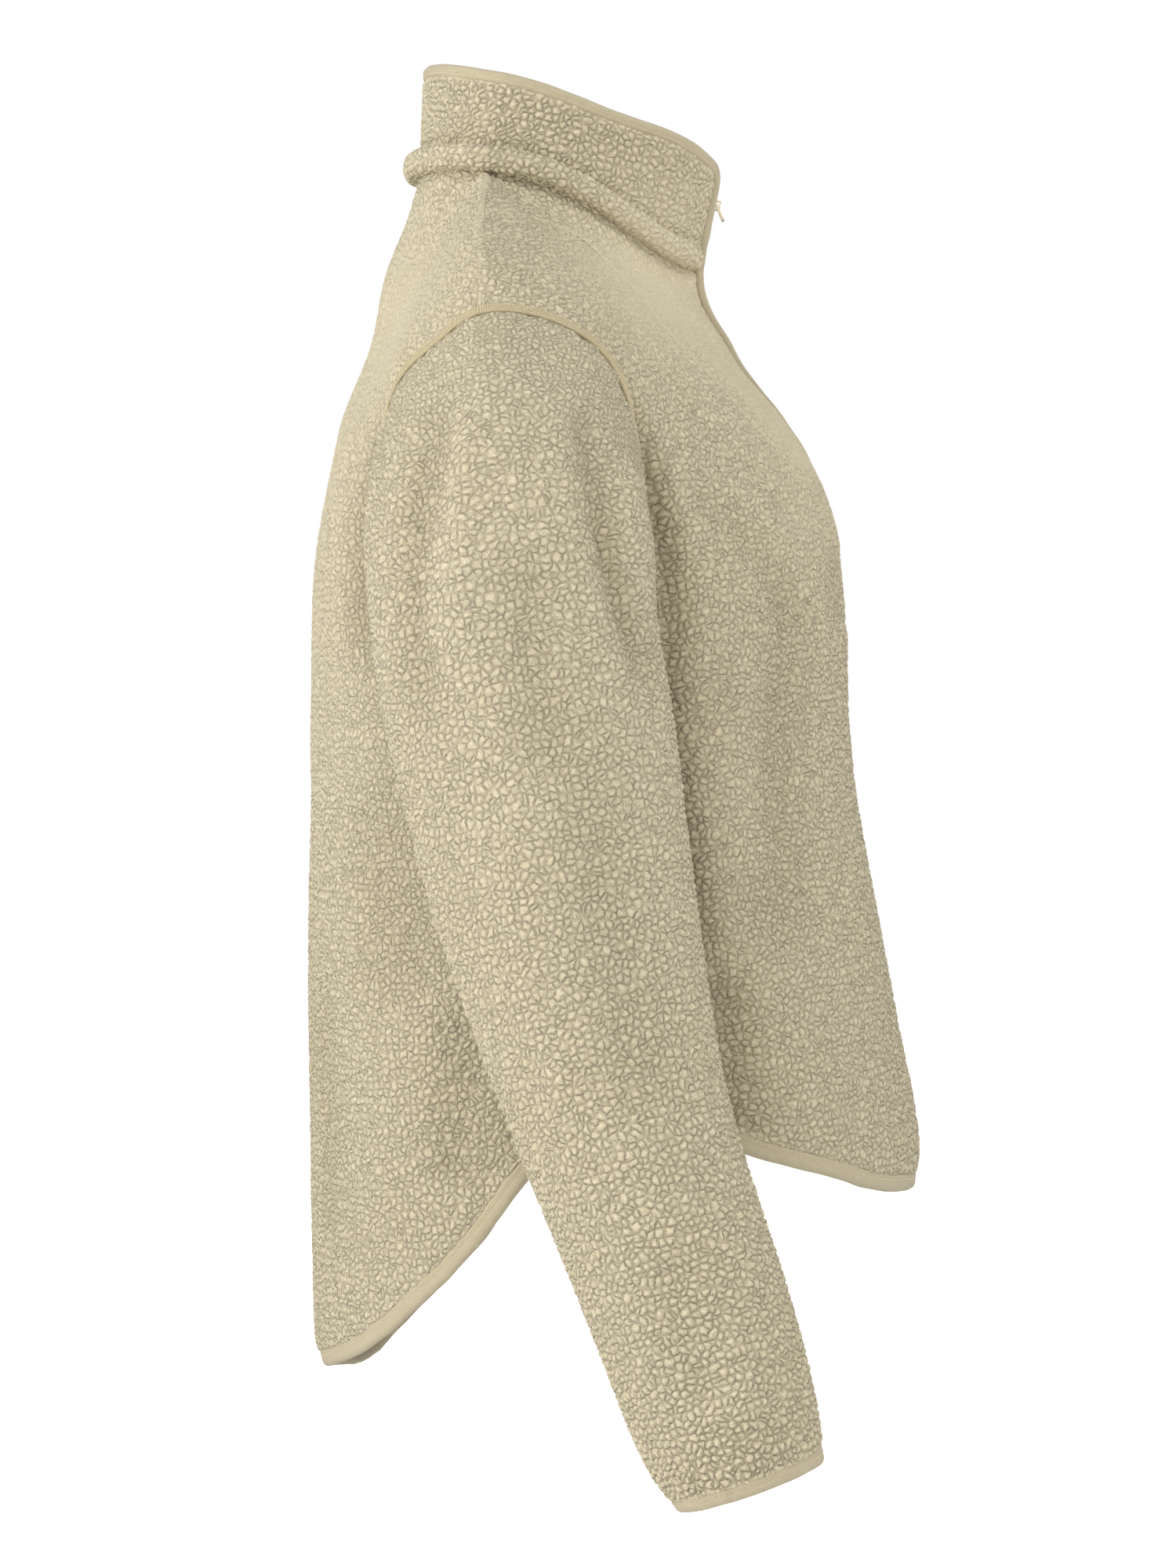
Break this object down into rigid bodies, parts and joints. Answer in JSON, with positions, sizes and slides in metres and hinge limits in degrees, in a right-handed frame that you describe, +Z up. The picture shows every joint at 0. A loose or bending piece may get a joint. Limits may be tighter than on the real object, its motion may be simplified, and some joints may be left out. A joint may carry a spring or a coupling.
{
  "type": "half-zip fleece pullover",
  "caption": "Long-sleeved pile fleece pullover with a stand collar, half zip with pull tab, dropped shoulders, curved hem with a longer back, and bound edges.",
  "frame": {"origin": "middle of the neck opening at the height of the shoulders' highest point, where the garment rests on its wearer", "axes": "+Z up, -Y the way the wearer faces, +X towards the wearer's left"},
  "size_m": [0.6424, 0.3247, 0.7386],
  "materials": {
    "sherpa_fleece": "nubbly pile fleece",
    "binding": "smooth stretch binding",
    "zip_tape": "woven",
    "zip_coil": "satin",
    "zip_metal": "satin paint"
  },
  "bodies": {
    "garment": {"front_panel": "sherpa_fleece", "back_panel": "sherpa_fleece", "sleeve_left": "sherpa_fleece", "sleeve_right": "sherpa_fleece", "collar": "sherpa_fleece", "collar_binding": "binding", "hem_binding": "binding", "cuff_binding_left": "binding", "cuff_binding_right": "binding", "zip_tape_left": "zip_tape", "zip_tape_right": "zip_tape", "zip_coil": "zip_coil", "zip_bottom_stop": "zip_metal", "zip_slider": "zip_metal"},
    "pull_tab": {"zip_pull_tab": "zip_metal"}
  },
  "joints": [
    {"name": "pull_tab_hinge", "type": "hinge", "parent": "garment", "child": "pull_tab", "pos_m": [0, -0.08995, -0.01569], "axis": [-1, 0, 0], "range_deg": [-32, 130]}
  ]
}
